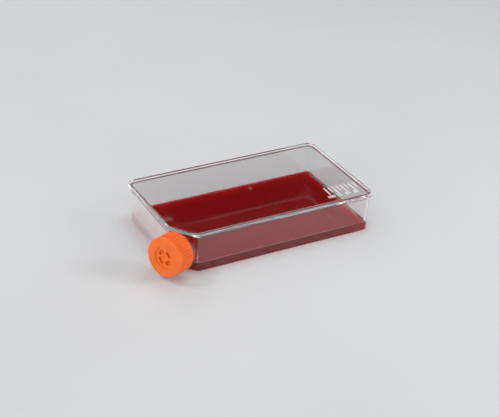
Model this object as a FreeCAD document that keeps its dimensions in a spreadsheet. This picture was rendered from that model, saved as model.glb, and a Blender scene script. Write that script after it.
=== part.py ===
import FreeCAD, Part
import os
from math import pi, radians

import Sketcher

# Vented cell culture flask, lying flat.
# Frame: origin at the middle of the underside, +X along the flask away from
# the neck, +Y towards the back, +Z up. Lengths in millimetres, angles in degrees.

DOC = FreeCAD.newDocument("CultureFlask")

SIZES = {
    # overall size over the rim, and the corner that is cut off for the neck
    "body_length": 185.7,
    "body_width": 109,
    "body_height": 36.5,
    "cut_length": 18.1,
    "cut_width": 22.3,
    # tray: walls lean in from the rim towards the floor
    "rim_overhang": 1.7,
    "base_inset": 2.6,
    "wall_thickness": 1.7,
    "floor_thickness": 1.9,
    "wall_corner_radius": 5.6,
    "wall_cut_radius": 3.5,
    "base_round": 1,
    "floor_round": 1.2,
    # rim: the tray's flange below, the plate's raised ridge above
    "flange_thickness": 1.3,
    "plate_thickness": 1.7,
    "ridge_height": 0.9,
    "ridge_width": 2.8,
    "ridge_round": 0.8,
    "rim_corner_radius": 8.1,
    "rim_cut_radius": 3.8,
    "gate_radius": 1.2,
    "gate_height": 0.3,
    # neck: where its axis crosses the cut corner, how far under the plate, and where it points
    "neck_offset": 12.3,
    "neck_drop": 15,
    "neck_turn": 26.5,
    "neck_tilt": 5,
    "neck_bore_radius": 11.2,
    "neck_wall": 1.9,
    "neck_root_depth": 13,
    # screw thread between neck and cap
    "thread_pitch": 4.2,
    "thread_height": 1.1,
    "thread_base": 1.8,
    "thread_crest": 0.9,
    "thread_clearance": 0.3,
    "neck_thread_start": 7.6,
    "neck_thread_turns": 2,
    "cap_thread_turns": 1.5,
    # cap
    "cap_gap": 3.85,
    "cap_length": 16.9,
    "cap_radius": 17.05,
    "cap_top": 1.7,
    "cap_face_round": 1,
    "crown_length": 1.6,
    "skirt_drop": 0.2,
    "flute_radius": 0.85,
    "flute_depth": 0.95,
    "flute_count": 45,
    "face_recess_radius": 9.3,
    "face_recess_depth": 0.8,
    "vent_circle_radius": 5.1,
    "vent_width": 3.0,
    "vent_sweep": 34,
    "vent_count": 4,
    "cap_gate_radius": 1.1,
    "cap_gate_depth": 0.4,
    "seal_gap": 0.1,
    # vent membrane on its seat under the cap's top
    "seat_clearance": 0.6,
    "seat_width": 1.1,
    "seat_height": 0.6,
    "membrane_thickness": 0.3,
    # contents
    "medium_level": 6.9,
    # smallest rounding, and how far a thread ridge is sunk in its wall
    "least_round": 0.3,
}

# Edges whose height differs by less than this count as level.
FLAT = 0.001

# Expressions that several sub-parts share.
CUT_SPAN = "sqrt(Sizes.cut_length^2 + Sizes.cut_width^2)"
CUT_LOSS = f"(Sizes.cut_length + Sizes.cut_width - {CUT_SPAN})"
FLANGE_TOP = "(Sizes.body_height - Sizes.ridge_height - Sizes.plate_thickness)"
WALL_LEAN = f"atan((Sizes.base_inset - Sizes.rim_overhang) / {FLANGE_TOP})"
NECK_RADIUS = "(Sizes.neck_bore_radius + Sizes.neck_wall)"
SKIRT_RADIUS = "(Sizes.cap_radius - Sizes.skirt_drop)"
CAP_BORE = f"({NECK_RADIUS} + Sizes.thread_height + Sizes.thread_clearance)"
CAP_FACE = "(Sizes.cap_gap + Sizes.cap_length)"
CAP_CEILING = f"({CAP_FACE} - Sizes.cap_top)"
NECK_END = f"({CAP_CEILING} - Sizes.seal_gap)"
SEAT_RADIUS = "(Sizes.neck_bore_radius - Sizes.seat_clearance)"
NECK_PLACE = (
    "create(<<placement>>; create(<<vector>>; "
    f"Sizes.neck_offset * Sizes.cut_length / {CUT_SPAN} - Sizes.body_length / 2; "
    f"Sizes.cut_width - Sizes.neck_offset * Sizes.cut_width / {CUT_SPAN} - Sizes.body_width / 2; "
    f"{FLANGE_TOP} - Sizes.neck_drop); "
    "create(<<rotation>>; 180 + Sizes.neck_turn; 90 - Sizes.neck_tilt; 0))"
)


def make_sheet():
    sheet = DOC.addObject("Spreadsheet::Sheet", "Sizes")
    for row, (alias, value) in enumerate(SIZES.items(), start=1):
        sheet.set(f"A{row}", alias)
        sheet.set(f"B{row}", str(value))
        sheet.setAlias(f"B{row}", alias)
    DOC.recompute()


def origin_plane(body, role):
    return next(item for item in body.Origin.OriginFeatures if item.Role == role)


def new_sketch(body, name, role, height=None):
    """Empty sketch on one of the body's own origin planes, lifted to a height."""
    sketch = body.newObject("Sketcher::SketchObject", name)
    sketch.AttachmentSupport = (origin_plane(body, role), [""])
    sketch.MapMode = "FlatFace"
    if height is not None:
        sketch.setExpression("AttachmentOffset.Base.z", height)
    return sketch


def constrain(sketch, name, size, *geometry):
    """Named dimension on a sketch, bound to an expression of the sheet."""
    index = sketch.addConstraint(Sketcher.Constraint(*geometry))
    sketch.renameConstraint(index, name)
    sketch.setExpression(f"Constraints.{name}", size)


def join_ends(sketch, count):
    """Closes a loop of edges by joining each edge's end to the next one's start."""
    for edge in range(count):
        sketch.addConstraint(Sketcher.Constraint("Coincident", edge, 2, (edge + 1) % count, 1))


def outline_sketch(body, name, inset, height):
    """Outline of the flask in plan: a rectangle with its neck corner cut off."""
    sketch = new_sketch(body, name, "XY_Plane", height)
    half_x, half_y = SIZES["body_length"] / 2, SIZES["body_width"] / 2
    corners = [
        FreeCAD.Vector(-half_x, SIZES["cut_width"] - half_y, 0),
        FreeCAD.Vector(SIZES["cut_length"] - half_x, -half_y, 0),
        FreeCAD.Vector(half_x, -half_y, 0),
        FreeCAD.Vector(half_x, half_y, 0),
        FreeCAD.Vector(-half_x, half_y, 0),
    ]
    for start, end in zip(corners, corners[1:] + corners[:1]):
        sketch.addGeometry(Part.LineSegment(start, end), False)
    cut_side, front_side, right_side, back_side, left_side = range(len(corners))
    join_ends(sketch, len(corners))
    for side in (front_side, back_side):
        sketch.addConstraint(Sketcher.Constraint("Horizontal", side))
    for side in (right_side, left_side):
        sketch.addConstraint(Sketcher.Constraint("Vertical", side))
    half_length = f"Sizes.body_length / 2 - {inset}"
    half_width = f"Sizes.body_width / 2 - {inset}"
    cut_x = f"Sizes.cut_length - {inset} * {CUT_LOSS} / Sizes.cut_width"
    cut_y = f"Sizes.cut_width - {inset} * {CUT_LOSS} / Sizes.cut_length"
    constrain(sketch, "right", half_length, "DistanceX", -1, 1, right_side, 1, half_x)
    constrain(sketch, "left", half_length, "DistanceX", left_side, 1, -1, 1, half_x)
    constrain(sketch, "back", half_width, "DistanceY", -1, 1, back_side, 1, half_y)
    constrain(sketch, "front", half_width, "DistanceY", front_side, 1, -1, 1, half_y)
    constrain(sketch, "cut_x", cut_x, "DistanceX", cut_side, 1, cut_side, 2, SIZES["cut_length"])
    constrain(sketch, "cut_y", cut_y, "DistanceY", cut_side, 2, cut_side, 1, SIZES["cut_width"])
    return sketch


def circle_sketch(body, name, height, **radii):
    """Concentric circles about the body's Z axis, each radius a named dimension."""
    sketch = new_sketch(body, name, "XY_Plane", height)
    for index, (label, radius) in enumerate(radii.items()):
        sketch.addGeometry(Part.Circle(FreeCAD.Vector(), FreeCAD.Vector(0, 0, 1), index + 1), False)
        sketch.addConstraint(Sketcher.Constraint("Coincident", index, 3, -1, 1))
        constrain(sketch, label, radius, "Radius", index, index + 1)
    return sketch


def pad(body, name, sketch, length):
    feature = body.newObject("PartDesign::Pad", name)
    feature.Profile = sketch
    feature.setExpression("Length", length)
    return feature


def pocket(body, name, sketch, length):
    """Cut from the sketch down towards -Z."""
    feature = body.newObject("PartDesign::Pocket", name)
    feature.Profile = sketch
    feature.setExpression("Length", length)
    return feature


def lean_sides(body, name, base, angle):
    """Leans every side face of the base feature outwards as it rises from the XY plane."""
    DOC.recompute()
    sides = [f"Face{number}" for number, face in enumerate(base.Shape.Faces, start=1)
             if face.BoundBox.ZLength > FLAT]
    feature = body.newObject("PartDesign::Draft", name)
    feature.Base = (base, sides)
    feature.NeutralPlane = (origin_plane(body, "XY_Plane"), [""])
    feature.Reversed = True
    feature.setExpression("Angle", angle)
    return feature


def polar(body, name, feature, count):
    pattern = body.newObject("PartDesign::PolarPattern", name)
    pattern.Originals = [feature]
    pattern.Axis = (origin_plane(body, "Z_Axis"), [""])
    pattern.Angle = 360
    pattern.setExpression("Occurrences", count)
    body.Tip = pattern
    return pattern


def edge_names(shape, wanted):
    return [f"Edge{number}" for number, edge in enumerate(shape.Edges, start=1) if wanted(edge)]


def is_upright(edge):
    """Straight edge at a corner of the outline, which leans only by the draft."""
    box = edge.BoundBox
    return edge.Curve.TypeId == "Part::GeomLine" and box.ZLength > box.DiagonalLength * 0.9


def is_at_cut(edge):
    return edge.CenterOfMass.x < 0 and edge.CenterOfMass.y < 0


def round_edges(body, name, base, wanted, radius):
    """Fillet of every edge of the base feature that the test picks."""
    DOC.recompute()
    feature = body.newObject("PartDesign::Fillet", name)
    feature.Base = (base, edge_names(base.Shape, wanted))
    feature.setExpression("Radius", radius)
    DOC.recompute()
    return feature


def round_corners(body, name, base, square_radius, cut_radius):
    """Rounds the three square corners and the two at the cut, each to its own radius."""
    square = round_edges(
        body, f"{name}_square", base,
        lambda edge: is_upright(edge) and not is_at_cut(edge), square_radius)
    return round_edges(
        body, f"{name}_cut", square,
        lambda edge: is_upright(edge) and is_at_cut(edge), cut_radius)


def round_level(body, name, base, level, radius):
    """Rounds every edge that lies flat at one level, given as lowest or highest."""
    DOC.recompute()
    box = base.Shape.BoundBox
    height = box.ZMin if level == "lowest" else box.ZMax
    return round_edges(
        body, name, base,
        lambda edge: edge.BoundBox.ZLength < FLAT and abs(edge.CenterOfMass.z - height) < FLAT, radius)


def new_body(name, placement=None):
    body = DOC.addObject("PartDesign::Body", name)
    body.Label = name
    if placement is not None:
        body.setExpression("Placement", placement)
    return body


def slab(name, inset, bottom, height, square_radius, cut_radius):
    """Flat plate of the flask's outline with rounded corners."""
    body = new_body(name)
    blank = pad(body, f"{name}_pad", outline_sketch(body, f"{name}_outline", inset, bottom), height)
    return body, round_corners(body, f"{name}_corners", blank, square_radius, cut_radius)


def tub(name, inset, bottom, square_radius, cut_radius):
    """Solid up to the flange's top whose sides lean out; inset and radii are those at the underside."""
    body = new_body(name)
    blank = pad(body, f"{name}_pad", outline_sketch(body, f"{name}_outline", inset, bottom),
                f"{FLANGE_TOP} - {bottom}")
    corners = round_corners(body, f"{name}_corners", blank, square_radius, cut_radius)
    return body, lean_sides(body, f"{name}_sides", corners, WALL_LEAN)


def boolean(kind, name, parts):
    """Part boolean: a fuse or common of all parts, or the first cut by the second."""
    feature = DOC.addObject(f"Part::{kind}", name)
    if kind == "Cut":
        feature.Base, feature.Tool = parts
    else:
        feature.Shapes = parts
    feature.Label = name
    return feature


def add_thread(body, name, root, crest, start, turns):
    """Right-hand screw ridge about the body's Z axis, from a root radius to a crest radius."""
    sketch = new_sketch(body, f"{name}_profile", "XZ_Plane")
    root_x, crest_x = SIZES["neck_bore_radius"], SIZES["cap_radius"]
    base, tip, middle = SIZES["thread_base"] / 2, SIZES["thread_crest"] / 2, SIZES["neck_thread_start"]
    corners = [
        FreeCAD.Vector(root_x, middle - base, 0),
        FreeCAD.Vector(crest_x, middle - tip, 0),
        FreeCAD.Vector(crest_x, middle + tip, 0),
        FreeCAD.Vector(root_x, middle + base, 0),
    ]
    for begin, end in zip(corners, corners[1:] + corners[:1]):
        sketch.addGeometry(Part.LineSegment(begin, end), False)
    lower_flank, crest_line, _, root_line = range(len(corners))
    join_ends(sketch, len(corners))
    sketch.addConstraint(Sketcher.Constraint("Vertical", crest_line))
    sketch.addConstraint(Sketcher.Constraint("Vertical", root_line))
    constrain(sketch, "root", root, "DistanceX", -1, 1, lower_flank, 1, root_x)
    constrain(sketch, "crest", crest, "DistanceX", -1, 1, lower_flank, 2, crest_x)
    constrain(sketch, "root_low", f"{start} - Sizes.thread_base / 2",
              "DistanceY", -1, 1, lower_flank, 1, middle - base)
    constrain(sketch, "root_width", "Sizes.thread_base", "DistanceY", root_line, 2, root_line, 1, 2 * base)
    constrain(sketch, "crest_low", f"{start} - Sizes.thread_crest / 2",
              "DistanceY", -1, 1, crest_line, 1, middle - tip)
    constrain(sketch, "crest_width", "Sizes.thread_crest", "DistanceY", crest_line, 1, crest_line, 2, 2 * tip)
    helix = body.newObject("PartDesign::AdditiveHelix", name)
    helix.Profile = sketch
    helix.ReferenceAxis = (sketch, ["V_Axis"])
    helix.Mode = "pitch-turns-angle"
    helix.setExpression("Pitch", "Sizes.thread_pitch")
    helix.setExpression("Turns", turns)
    return helix


# Tray: floor, walls, flange and neck are one clear moulding.

def make_hollow():
    """Everything that is open inside the tray and its neck."""
    radius = "max(Sizes.wall_corner_radius - Sizes.wall_thickness; Sizes.least_round)"
    cut_radius = "max(Sizes.wall_cut_radius - Sizes.wall_thickness; Sizes.least_round)"
    cavity, sides = tub("cavity", "(Sizes.base_inset + Sizes.wall_thickness)",
                        "Sizes.floor_thickness", radius, cut_radius)
    round_level(cavity, "cavity_floor", sides, "lowest", f"min(Sizes.floor_round; {cut_radius})")
    bore = new_body("neck_bore", NECK_PLACE)
    start = "-(Sizes.neck_root_depth + Sizes.wall_thickness)"
    disc = circle_sketch(bore, "neck_bore_circle", start, bore="Sizes.neck_bore_radius")
    pad(bore, "neck_bore_pad", disc, f"{NECK_END} - {start}")
    return boolean("MultiFuse", "hollow", [cavity, bore])


def make_neck():
    neck = new_body("neck", NECK_PLACE)
    start = "-Sizes.neck_root_depth"
    disc = circle_sketch(neck, "neck_circle", start, outside=NECK_RADIUS)
    tube = pad(neck, "neck_tube", disc, f"{NECK_END} - {start}")
    round_level(neck, "neck_lip", tube, "highest", "Sizes.least_round")
    add_thread(neck, "neck_thread", f"{NECK_RADIUS} - Sizes.least_round",
               f"{NECK_RADIUS} + Sizes.thread_height", "Sizes.neck_thread_start", "Sizes.neck_thread_turns")
    return neck


def make_tray(hollow):
    walls, sides = tub("walls", "Sizes.base_inset", "0",
                       "Sizes.wall_corner_radius", "Sizes.wall_cut_radius")
    round_level(walls, "walls_base", sides, "lowest", "Sizes.base_round")
    flange, _ = slab("flange", "0", f"{FLANGE_TOP} - Sizes.flange_thickness", "Sizes.flange_thickness",
                     "Sizes.rim_corner_radius", "Sizes.rim_cut_radius")
    blank = boolean("MultiFuse", "tray_blank", [walls, flange, make_neck()])
    return boolean("Cut", "flask_tray", [blank, hollow])


# Top plate: welded on the flange, with a raised ridge that holds the next flask in a stack.

def make_top_plate():
    blank, corners = slab("plate_blank", "0", FLANGE_TOP, "Sizes.plate_thickness + Sizes.ridge_height",
                          "Sizes.rim_corner_radius", "Sizes.rim_cut_radius")
    round_level(blank, "plate_edge", corners, "highest", "Sizes.ridge_round")
    field = f"({FLANGE_TOP} + Sizes.plate_thickness)"
    recess, _ = slab("plate_recess", "Sizes.ridge_width", field, "Sizes.ridge_height",
                     "max(Sizes.rim_corner_radius - Sizes.ridge_width; Sizes.least_round)",
                     "max(Sizes.rim_cut_radius - Sizes.ridge_width; Sizes.least_round)")
    ridged = boolean("Cut", "ridged_plate", [blank, recess])
    gate = DOC.addObject("Part::Cone", "gate_mark")
    gate.setExpression("Radius1", "Sizes.gate_radius")
    gate.setExpression("Radius2", "Sizes.gate_radius / 2")
    gate.setExpression("Height", "Sizes.gate_height")
    gate.setExpression("Placement.Base.z", field)
    return boolean("MultiFuse", "top_plate", [ridged, gate])


# Screw cap, with fluted grip, recessed face and vent slots over the membrane.

def flute_sketch(body, height):
    sketch = new_sketch(body, "flute_circle", "XY_Plane", height)
    centre = SIZES["cap_radius"]
    sketch.addGeometry(Part.Circle(FreeCAD.Vector(centre, 0, 0), FreeCAD.Vector(0, 0, 1), 1), False)
    sketch.addConstraint(Sketcher.Constraint("PointOnObject", 0, 3, -1))
    constrain(sketch, "radius", "Sizes.flute_radius", "Radius", 0, 1)
    constrain(sketch, "centre", f"{SKIRT_RADIUS} + Sizes.flute_radius - Sizes.flute_depth",
              "DistanceX", -1, 1, 0, 3, centre)
    return sketch


def vent_sketch(body, height):
    """Kidney slot: two arcs about the cap's axis, closed by round ends."""
    sketch = new_sketch(body, "vent_slot", "XY_Plane", height)
    sketch.setExpression("AttachmentOffset.Rotation.Angle", "180 / Sizes.vent_count")
    up = FreeCAD.Vector(0, 0, 1)
    turn = radians(SIZES["vent_sweep"] / 2)
    middle, half = SIZES["vent_circle_radius"], SIZES["vent_width"] / 2
    left_end = FreeCAD.Rotation(up, SIZES["vent_sweep"] / 2).multVec(FreeCAD.Vector(middle, 0, 0))
    right_end = FreeCAD.Vector(left_end.x, -left_end.y, 0)
    arcs = [
        (FreeCAD.Vector(), middle + half, -turn, turn),
        (left_end, half, turn, turn + pi),
        (FreeCAD.Vector(), middle - half, -turn, turn),
        (right_end, half, pi - turn, 2 * pi - turn),
    ]
    for centre, radius, begin, end in arcs:
        sketch.addGeometry(Part.ArcOfCircle(Part.Circle(centre, up, radius), begin, end), False)
    outer, left, inner, right = range(len(arcs))
    for arc in (outer, inner):
        sketch.addConstraint(Sketcher.Constraint("Coincident", arc, 3, -1, 1))
    sketch.addConstraint(Sketcher.Constraint("Tangent", outer, 2, left, 1))
    sketch.addConstraint(Sketcher.Constraint("Tangent", left, 2, inner, 2))
    sketch.addConstraint(Sketcher.Constraint("Tangent", inner, 1, right, 1))
    sketch.addConstraint(Sketcher.Constraint("Tangent", right, 2, outer, 1))
    for label, arc, sign in (("outer", outer, "+"), ("inner", inner, "-")):
        constrain(sketch, label, f"Sizes.vent_circle_radius {sign} Sizes.vent_width / 2",
                  "Radius", arc, arcs[arc][1])
    reach = "Sizes.vent_circle_radius * sin(Sizes.vent_sweep / 2)"
    constrain(sketch, "left_end", reach, "DistanceY", -1, 1, left, 3, left_end.y)
    constrain(sketch, "right_end", reach, "DistanceY", right, 3, -1, 1, left_end.y)
    return sketch


def make_cap():
    cap = new_body("screw_cap", NECK_PLACE)
    skirt_length = "(Sizes.cap_length - Sizes.crown_length)"
    skirt_top = f"(Sizes.cap_gap + {skirt_length})"
    skirt = circle_sketch(cap, "skirt_circle", "Sizes.cap_gap", outside=SKIRT_RADIUS)
    pad(cap, "skirt", skirt, skirt_length)
    flute = pocket(cap, "flute", flute_sketch(cap, skirt_top), skirt_length)
    polar(cap, "flutes", flute, "Sizes.flute_count")
    crown_circle = circle_sketch(cap, "crown_circle", skirt_top, outside="Sizes.cap_radius")
    crown = pad(cap, "crown", crown_circle, "Sizes.crown_length")
    round_level(cap, "face_edge", crown, "highest", "Sizes.cap_face_round")
    bore = circle_sketch(cap, "cap_bore_circle", CAP_CEILING, bore=CAP_BORE)
    pocket(cap, "cap_bore", bore, "Sizes.cap_length - Sizes.cap_top")
    seat = circle_sketch(cap, "seat_circles", f"{CAP_CEILING} - Sizes.seat_height",
                         outside=SEAT_RADIUS, inside=f"{SEAT_RADIUS} - Sizes.seat_width")
    pad(cap, "seat", seat, "Sizes.seat_height")
    face = circle_sketch(cap, "recess_circle", CAP_FACE, recess="Sizes.face_recess_radius")
    pocket(cap, "face_recess", face, "Sizes.face_recess_depth")
    gate = circle_sketch(cap, "cap_gate_circle", CAP_FACE, gate="Sizes.cap_gate_radius")
    pocket(cap, "cap_gate", gate, "Sizes.face_recess_depth + Sizes.cap_gate_depth")
    vent = pocket(cap, "vent", vent_sketch(cap, CAP_FACE), "Sizes.cap_top")
    polar(cap, "vents", vent, "Sizes.vent_count")
    add_thread(cap, "cap_thread", f"{CAP_BORE} + Sizes.least_round", f"{CAP_BORE} - Sizes.thread_height",
               "Sizes.neck_thread_start - Sizes.thread_pitch / 2", "Sizes.cap_thread_turns")
    return cap


def make_membrane():
    membrane = new_body("vent_membrane", NECK_PLACE)
    disc = circle_sketch(membrane, "membrane_circle",
                         f"{CAP_CEILING} - Sizes.seat_height - Sizes.membrane_thickness", outside=SEAT_RADIUS)
    pad(membrane, "membrane_disc", disc, "Sizes.membrane_thickness")
    return membrane


# Medium: fills the hollow up to a level, and stands a little way into the tilted neck.

def make_medium(hollow):
    below = DOC.addObject("Part::Box", "below_level")
    below.setExpression("Length", "Sizes.body_length * 2")
    below.setExpression("Width", "Sizes.body_width * 2")
    below.setExpression("Height", "Sizes.medium_level")
    below.setExpression("Placement.Base.x", "-Sizes.body_length")
    below.setExpression("Placement.Base.y", "-Sizes.body_width")
    return boolean("MultiCommon", "culture_medium", [hollow, below])


def check(nodes):
    """Stops if any object of the document failed, or a node is not one valid solid."""
    failed = [item.Name for item in DOC.Objects if {"Invalid", "Error"} & set(item.State)]
    if failed:
        raise RuntimeError(f"failed objects: {failed}")
    for node in nodes:
        if node.Shape.isNull() or not node.Shape.isValid() or len(node.Shape.Solids) != 1:
            raise RuntimeError(f"{node.Label} is not one valid solid")


make_sheet()
HOLLOW = make_hollow()
NODES = [make_tray(HOLLOW), make_top_plate(), make_cap(), make_membrane(), make_medium(HOLLOW)]
DOC.recompute()
check(NODES)
os.makedirs("parts", exist_ok=True)
for node in NODES:
    node.Shape.exportStep(f"parts/{node.Label}.step")
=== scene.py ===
import math

import bmesh
import bpy
from mathutils import Matrix, Vector


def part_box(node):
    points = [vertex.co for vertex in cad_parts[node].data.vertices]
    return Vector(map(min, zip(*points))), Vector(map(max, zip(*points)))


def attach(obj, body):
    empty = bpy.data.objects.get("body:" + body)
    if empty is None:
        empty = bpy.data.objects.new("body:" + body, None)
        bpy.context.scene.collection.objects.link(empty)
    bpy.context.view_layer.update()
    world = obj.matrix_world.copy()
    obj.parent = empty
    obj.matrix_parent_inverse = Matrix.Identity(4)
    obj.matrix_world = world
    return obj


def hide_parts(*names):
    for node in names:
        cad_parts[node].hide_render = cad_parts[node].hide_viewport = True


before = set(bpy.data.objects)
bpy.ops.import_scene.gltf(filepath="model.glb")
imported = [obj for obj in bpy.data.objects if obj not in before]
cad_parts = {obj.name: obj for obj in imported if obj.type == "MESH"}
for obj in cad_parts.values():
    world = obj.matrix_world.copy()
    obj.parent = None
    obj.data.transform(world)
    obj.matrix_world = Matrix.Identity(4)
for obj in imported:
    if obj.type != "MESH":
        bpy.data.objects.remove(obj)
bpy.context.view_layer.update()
MM = 0.001
PLASTIC_IOR = 1.59


# Node helpers

def new_material(name):
    material = bpy.data.materials.new(name)
    material.use_nodes = True
    material.node_tree.nodes.clear()
    return material


def add(material, kind, **sockets):
    """New node, with the plain values of its input sockets."""
    node = material.node_tree.nodes.new(kind)
    for key, value in sockets.items():
        node.inputs[key.replace("_", " ")].default_value = value
    return node


def join(material, output, target):
    material.node_tree.links.new(output, target)


def noise(material, scale, detail=2.0, roughness=0.5):
    """Noise in the piece's own metres: scale is features per metre."""
    coords = add(material, "ShaderNodeTexCoord")
    node = add(material, "ShaderNodeTexNoise", Scale=scale, Detail=detail, Roughness=roughness)
    join(material, coords.outputs["Object"], node.inputs["Vector"])
    return node.outputs["Fac"]


def spread(material, factor, low, high):
    """Number that runs from low to high over the middle of the noise's range."""
    node = add(material, "ShaderNodeMapRange", From_Min=0.3, From_Max=0.7, To_Min=low, To_Max=high)
    join(material, factor, node.inputs["Value"])
    return node.outputs["Result"]


def shades(material, factor, *stops):
    """Colour ramp through (place, colour) stops."""
    node = add(material, "ShaderNodeValToRGB")
    ramp = node.color_ramp
    while len(ramp.elements) < len(stops):
        ramp.elements.new(0.5)
    for element, (place, colour) in zip(ramp.elements, stops):
        element.position = place
        element.color = (*colour, 1)
    join(material, factor, node.inputs["Fac"])
    return node.outputs["Color"]


def dress(material, shader, hue, gloss, *grain):
    """Gives a shader its colour, its roughness, and bumps of (height, depth), coarse ones first."""
    join(material, hue, shader.inputs["Base Color"])
    join(material, gloss, shader.inputs["Roughness"])
    normal = None
    for height, depth in grain:
        bump = add(material, "ShaderNodeBump", Strength=1.0, Distance=depth)
        join(material, height, bump.inputs["Height"])
        if normal is not None:
            join(material, normal, bump.inputs["Normal"])
        normal = bump.outputs["Normal"]
    join(material, normal, shader.inputs["Normal"])


def see_through(material, shader, passed):
    """Output in which lamps and light bounced off matt things go straight through."""
    clear = add(material, "ShaderNodeBsdfTransparent", Color=(*passed, 1))
    path = add(material, "ShaderNodeLightPath")
    surface = shader.outputs[0]
    for ray in ("Is Shadow Ray", "Is Diffuse Ray"):
        mixed = add(material, "ShaderNodeMixShader")
        join(material, path.outputs[ray], mixed.inputs[0])
        join(material, surface, mixed.inputs[1])
        join(material, clear.outputs[0], mixed.inputs[2])
        surface = mixed.outputs[0]
    output = add(material, "ShaderNodeOutputMaterial")
    join(material, surface, output.inputs["Surface"])
    return output


def opaque(material, shader):
    output = add(material, "ShaderNodeOutputMaterial")
    join(material, shader.outputs[0], output.inputs["Surface"])


# Materials

def clear_plastic(name):
    """Clear polystyrene: faint streaks in its tint, a polished skin and slow moulding waves."""
    material = new_material(name)
    shader = add(material, "ShaderNodeBsdfPrincipled", Transmission_Weight=1.0, IOR=PLASTIC_IOR)
    dress(material, shader,
          shades(material, noise(material, 35, 3),
                 (0.3, (0.984, 0.984, 0.985)), (0.7, (0.995, 0.995, 0.995))),
          spread(material, noise(material, 700, 4), 0.008, 0.04),
          (noise(material, 45, 1), 0.08 * MM),
          (noise(material, 2500, 2), 0.0004 * MM))
    see_through(material, shader, (0.93, 0.935, 0.94))
    return material


def frosted_plastic():
    """The same plastic where the mould leaves it matt, so that it looks milky."""
    material = new_material("frosted_styrene")
    shader = add(material, "ShaderNodeBsdfPrincipled", Transmission_Weight=0.55, IOR=PLASTIC_IOR)
    dress(material, shader,
          shades(material, noise(material, 90, 4),
                 (0.3, (0.88, 0.87, 0.875)), (0.7, (0.95, 0.945, 0.945))),
          spread(material, noise(material, 900, 4), 0.3, 0.42),
          (noise(material, 3000, 3), 0.0015 * MM))
    see_through(material, shader, (0.75, 0.75, 0.755))
    return material


def red_medium():
    """Clear liquid that takes the green and blue out of what passes through it."""
    material = new_material("red_medium")
    shader = add(material, "ShaderNodeBsdfPrincipled", Transmission_Weight=0.95, IOR=1.335)
    dress(material, shader,
          shades(material, noise(material, 30, 2),
                 (0.3, (0.74, 0.02, 0.03)), (0.7, (0.8, 0.028, 0.04))),
          spread(material, noise(material, 60, 2), 0.0, 0.02),
          (noise(material, 30, 1), 0.05 * MM))
    output = see_through(material, shader, (0.78, 0.2, 0.2))
    absorbing = add(material, "ShaderNodeVolumeAbsorption", Color=(0.96, 0.2, 0.1, 1), Density=300.0)
    join(material, absorbing.outputs[0], output.inputs["Volume"])
    return material


def cap_plastic():
    """Satin orange polyethylene with a fine moulded grain."""
    material = new_material("cap_orange")
    shader = add(material, "ShaderNodeBsdfPrincipled", IOR=1.52, Specular_IOR_Level=0.4,
                 Subsurface_Weight=0.05, Subsurface_Scale=2 * MM,
                 Subsurface_Radius=(1.0, 0.35, 0.12))
    dress(material, shader,
          shades(material, noise(material, 120, 4),
                 (0.3, (0.87, 0.14, 0.011)), (0.7, (0.95, 0.177, 0.021))),
          spread(material, noise(material, 900, 3), 0.26, 0.4),
          (noise(material, 260, 2), 0.03 * MM),
          (noise(material, 4500, 3), 0.004 * MM))
    opaque(material, shader)
    return material


def filter_membrane():
    """Matt filter with a fibrous surface. Its orange is painted light: the filter itself is pale,
    and the cap's orange stands in for the orange-lit shade inside the vent slots.
    """
    material = new_material("filter_matt_painted_shade")
    shader = add(material, "ShaderNodeBsdfPrincipled", IOR=1.2)
    # Painted shade: the cap's orange, as the pale filter looks in the orange-lit shade of the vent
    # slots.
    dress(material, shader,
          shades(material, noise(material, 1500, 5, 0.7),
                 (0.3, (0.84, 0.115, 0.01)), (0.7, (0.97, 0.16, 0.02))),
          spread(material, noise(material, 2500, 3), 0.75, 0.95),
          (noise(material, 4000, 5, 0.7), 0.02 * MM))
    opaque(material, shader)
    return material


def white_ink():
    """Screen print, slightly uneven."""
    material = new_material("print_white")
    shader = add(material, "ShaderNodeBsdfPrincipled", IOR=1.45)
    dress(material, shader,
          shades(material, noise(material, 1800, 4),
                 (0.3, (0.9, 0.9, 0.905)), (0.6, (0.98, 0.98, 0.98))),
          spread(material, noise(material, 1200, 2), 0.35, 0.6),
          (noise(material, 3000, 3), 0.004 * MM))
    opaque(material, shader)
    return material


def paint(piece, material):
    """Puts one material in every slot of a piece."""
    if not piece.material_slots:
        piece.data.materials.append(material)
    for slot in piece.material_slots:
        slot.material = material


# Shapes

def new_piece(name, data):
    piece = bpy.data.objects.new(name, data)
    bpy.context.scene.collection.objects.link(piece)
    return piece


def stand_in(piece, node):
    """The piece takes a CAD node's place on the flask: the node is hidden and the piece joins the
    flask's body.
    """
    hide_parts(node)
    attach(piece, "flask")


def close_shape(piece, shape):
    """Writes the shape back, smooth but for its sharp edges, with its faces turned outwards."""
    sharp = math.radians(35)
    bmesh.ops.recalc_face_normals(shape, faces=shape.faces)
    if shape.calc_volume(signed=True) < 0:
        bmesh.ops.reverse_faces(shape, faces=shape.faces)
    for face in shape.faces:
        face.smooth = len(face.verts) < 5
    for edge in shape.edges:
        edge.smooth = len(edge.link_faces) == 2 and edge.calc_face_angle(0) < sharp
    shape.to_mesh(piece.data)
    shape.free()
    piece.data.update()


def loop_in_order(edges):
    """Vertices of a closed loop of edges, in order."""
    ways = {}
    for edge in edges:
        for vert, other in (edge.verts, reversed(edge.verts)):
            ways.setdefault(vert, []).append(other)
    start = next(iter(ways))
    loop, previous = [start], None
    while True:
        here = loop[-1]
        onward = next(vert for vert in ways[here] if vert is not previous)
        if onward is start:
            return loop
        previous = here
        loop.append(onward)


def inward_ways(loop):
    """For each vertex of a level loop, the level direction that points inside."""
    after = loop[1:] + loop[:1]
    area = sum(a.co.x * b.co.y - b.co.x * a.co.y for a, b in zip(loop, after))
    sign = 1 if area > 0 else -1
    ways = []
    for index, (vert, following) in enumerate(zip(loop, after)):
        along = (vert.co - loop[index - 1].co).normalized() + (following.co - vert.co).normalized()
        ways.append(Vector((-along.y, along.x, 0)).normalized() * sign)
    return ways


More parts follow.
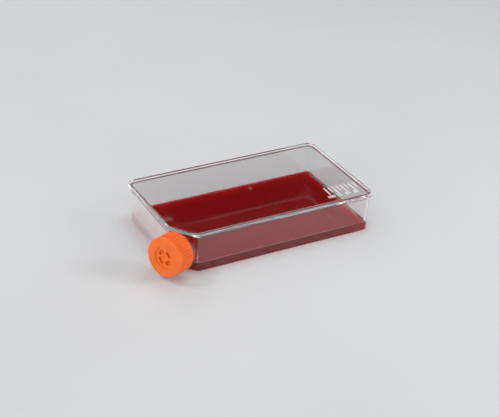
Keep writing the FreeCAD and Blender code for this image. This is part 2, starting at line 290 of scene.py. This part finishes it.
def wall_share(vert, on_top):
    """From 0.1 to 1, how upright the wall is that the liquid meets at a vertex."""
    sides = [face.normal for face in vert.link_faces if face not in on_top]
    upright = sum(math.hypot(normal.x, normal.y) for normal in sides) / len(sides)
    return min(max((upright - 0.8) / 0.15, 0.1), 1)


def make_medium(material):
    """The liquid, wetting the plastic a hair deep, with its surface drawn up at the walls."""
    wetting = 0.05 * MM
    flatness = 0.02 * MM
    wall_rise = 1.0 * MM
    steps = ((0.4, 0.82), (0.9, 0.6), (1.5, 0.35), (2.1, 0.14), (2.6, 0))
    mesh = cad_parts["culture_medium"].data.copy()
    piece = new_piece("medium_liquid", mesh)
    shape = bmesh.new()
    shape.from_mesh(mesh)
    bmesh.ops.remove_doubles(shape, verts=shape.verts, dist=0.002 * MM)
    shape.normal_update()

    level = max(vert.co.z for vert in shape.verts)
    top = [face for face in shape.faces
           if face.normal.z > 0.99 and abs(face.calc_center_median().z - level) < flatness]
    on_top = set(top)
    moves = {vert: vert.normal * min(vert.calc_shell_factor(), 2) * wetting for vert in shape.verts}
    for vert, move in moves.items():
        vert.co += move
        if on_top & set(vert.link_faces):
            vert.co.z = level
    shape.normal_update()

    loop = loop_in_order([edge for edge in shape.edges if len(on_top & set(edge.link_faces)) == 1])
    ways = inward_ways(loop)
    shares = [wall_share(vert, on_top) for vert in loop]
    places = [vert.co.copy() for vert in loop]
    bmesh.ops.delete(shape, geom=top, context="FACES")
    for vert, share in zip(loop, shares):
        vert.co.z += wall_rise * share
    ring = loop
    for inwards, rise in steps:
        inner = [shape.verts.new(place + (way * inwards + Vector((0, 0, rise))) * share * MM)
                 for place, way, share in zip(places, ways, shares)]
        for index in range(len(ring)):
            after = (index + 1) % len(ring)
            shape.faces.new((ring[index], ring[after], inner[after], inner[index]))
        ring = inner
    shape.faces.new(ring)
    close_shape(piece, shape)
    piece.modifiers.new("flats", "WEIGHTED_NORMAL").keep_sharp = True
    paint(piece, material)
    stand_in(piece, "culture_medium")


def make_tray(clear, frosted):
    """The tray, clear but for the matt outside of the end wall beside the neck."""
    end_depth, corner_width, rim_height = 9 * MM, 22 * MM, 4 * MM
    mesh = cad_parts["flask_tray"].data.copy()
    piece = new_piece("tray_clear", mesh)
    paint(piece, clear)
    mesh.materials.append(frosted)
    low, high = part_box("top_plate")
    for face in mesh.polygons:
        outside = face.normal.x < -0.3 and face.normal.y > -0.2 and abs(face.normal.z) < 0.3
        at_end = face.center.x < low.x + end_depth
        past_corner = face.center.y > low.y + corner_width
        under_rim = face.center.z < high.z - rim_height
        if outside and at_end and past_corner and under_rim:
            face.material_index = len(mesh.materials) - 1
    stand_in(piece, "flask_tray")


def make_plate(material):
    """The plate with a hair of air at the weld, so that the joint shows as a line."""
    air = 0.03 * MM
    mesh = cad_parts["top_plate"].data.copy()
    under = min(vert.co.z for vert in mesh.vertices)
    for vert in mesh.vertices:
        if vert.co.z < under + 0.01 * MM:
            vert.co.z += air
    piece = new_piece("plate_clear", mesh)
    paint(piece, material)
    stand_in(piece, "top_plate")


def make_marks(ink):
    """Volume marks for the flask standing on its end. Each second one is longer and has a number."""
    print_depth = 0.03 * MM
    step = 4.07 * MM
    numbers = {1: 25, 3: 50, 5: 75, 7: 100}
    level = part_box("top_plate")[1].z - 0.9 * MM
    tray_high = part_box("flask_tray")[1]
    far_x, start_y = tray_high.x - 7.0 * MM, tray_high.y - 81.5 * MM
    shape = bmesh.new()
    for mark in range(8):
        length, half = (12.4 * MM, 0.45 * MM) if mark in numbers else (9.4 * MM, 0.4 * MM)
        ends = ((start_y - half, 0), (start_y - length + half, 180))
        outline = []
        for centre_y, first in ends:
            for turn in range(0, 181, 20):
                angle = math.radians(first + turn)
                outline.append((far_x - step * mark + half * math.cos(angle),
                                centre_y + half * math.sin(angle)))
        upper, lower = ([shape.verts.new((x, y, z)) for x, y in outline]
                        for z in (level + print_depth, level))
        shape.faces.new(upper)
        shape.faces.new(reversed(lower))
        for index in range(len(outline)):
            shape.faces.new((upper[index - 1], lower[index - 1], lower[index], upper[index]))
    piece = new_piece("volume_marks", bpy.data.meshes.new("volume_marks"))
    close_shape(piece, shape)
    paint(piece, ink)
    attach(piece, "flask")
    for mark, number in numbers.items():
        text = bpy.data.curves.new(f"number_{number}", "FONT")
        text.body = str(number)
        text.size = 5.2 * MM
        text.align_x = "CENTER"
        text.align_y = "TOP"
        text.extrude = print_depth / 2
        text.offset = 0.1 * MM
        text.materials.append(ink)
        digits = new_piece(f"number_{number}", text)
        digits.location = (far_x - step * mark - 1.2 * MM, start_y - 13.2 * MM,
                           level + print_depth / 2)
        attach(digits, "flask")


# Studio

def make_floor():
    """Pale matt floor, a hair under the flask."""
    bpy.ops.mesh.primitive_plane_add(size=8, location=(0, 0, -0.25 * MM))
    floor = bpy.context.object
    floor.name = "floor"
    material = new_material("floor_pale")
    shader = add(material, "ShaderNodeBsdfPrincipled", Roughness=0.75, Specular_IOR_Level=0.15)
    hue = shades(material, noise(material, 3, 2),
                 (0.3, (0.64, 0.645, 0.655)), (0.7, (0.67, 0.675, 0.68)))
    join(material, hue, shader.inputs["Base Color"])
    opaque(material, shader)
    paint(floor, material)


def make_world():
    """Pale low round the studio, with a dark ring half way up that the plate mirrors."""
    world = bpy.data.worlds.new("studio")
    bpy.context.scene.world = world
    world.use_nodes = True
    world.node_tree.nodes.clear()
    coords = add(world, "ShaderNodeTexCoord")
    split = add(world, "ShaderNodeSeparateXYZ")
    join(world, coords.outputs["Generated"], split.inputs[0])
    sky = shades(world, split.outputs["Z"],
                 (0.0, (0.69, 0.69, 0.7)), (0.3, (0.6, 0.6, 0.61)),
                 (0.43, (0.015, 0.015, 0.016)), (0.56, (0.015, 0.015, 0.016)),
                 (0.7, (0.4, 0.4, 0.41)))
    light = add(world, "ShaderNodeBackground", Strength=1.0)
    join(world, sky, light.inputs["Color"])
    output = add(world, "ShaderNodeOutputWorld")
    join(world, light.outputs[0], output.inputs["Surface"])


def softbox(name, place, size, power):
    """Rectangular lamp that faces the flask."""
    lamp = bpy.data.lights.new(name, "AREA")
    lamp.shape = "RECTANGLE"
    lamp.size, lamp.size_y = size
    lamp.energy = power
    light = new_piece(name, lamp)
    light.location = place
    to_flask = Vector((0, 0, 0.02)) - Vector(place)
    light.rotation_euler = to_flask.to_track_quat("-Z", "Y").to_euler()


def make_camera():
    """Looks along the flask from its neck corner, about thirty degrees down."""
    azimuth, elevation, roll = map(math.radians, (-28.636, 29.579, 1.979))
    ahead = Vector((-math.sin(azimuth) * math.cos(elevation),
                    math.cos(azimuth) * math.cos(elevation), -math.sin(elevation)))
    level = Vector((math.cos(azimuth), math.sin(azimuth), 0))
    above = level.cross(ahead)
    right = math.cos(roll) * level + math.sin(roll) * above
    up = math.cos(roll) * above - math.sin(roll) * level
    data = bpy.data.cameras.new("camera")
    data.sensor_width = 36
    data.lens = 86.70
    camera = new_piece("camera", data)
    place = (1.0826 * right + 13.229 * up - 1052.8 * ahead) * MM
    turn = Matrix((right, up, -ahead)).transposed()
    camera.matrix_world = Matrix.Translation(place) @ turn.to_4x4()
    bpy.context.scene.camera = camera


paint(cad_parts["screw_cap"], cap_plastic())
paint(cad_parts["vent_membrane"], filter_membrane())
make_tray(clear_plastic("clear_styrene"), frosted_plastic())
make_plate(clear_plastic("clear_styrene_plate"))
make_medium(red_medium())
make_marks(white_ink())

make_floor()
make_world()
softbox("key", (-1.5, -0.83, 1.0), (1.5, 1.3), 16)
softbox("left", (-0.95, 0.45, 1.3), (0.45, 0.45), 5.5)
softbox("front", (1.05, -0.85, 0.75), (0.45, 0.45), 9)
softbox("top", (0.55, 0.1, 1.15), (0.6, 0.6), 2)
softbox("back", (0.0, 1.2, 1.0), (1.0, 0.3), 4)
make_camera()

# Light crosses the rims many times before it comes out again.
scene = bpy.context.scene
scene.view_settings.view_transform = "Standard"
scene.cycles.max_bounces = 64
scene.cycles.transmission_bounces = 64
scene.cycles.glossy_bounces = 64
scene.cycles.transparent_max_bounces = 32
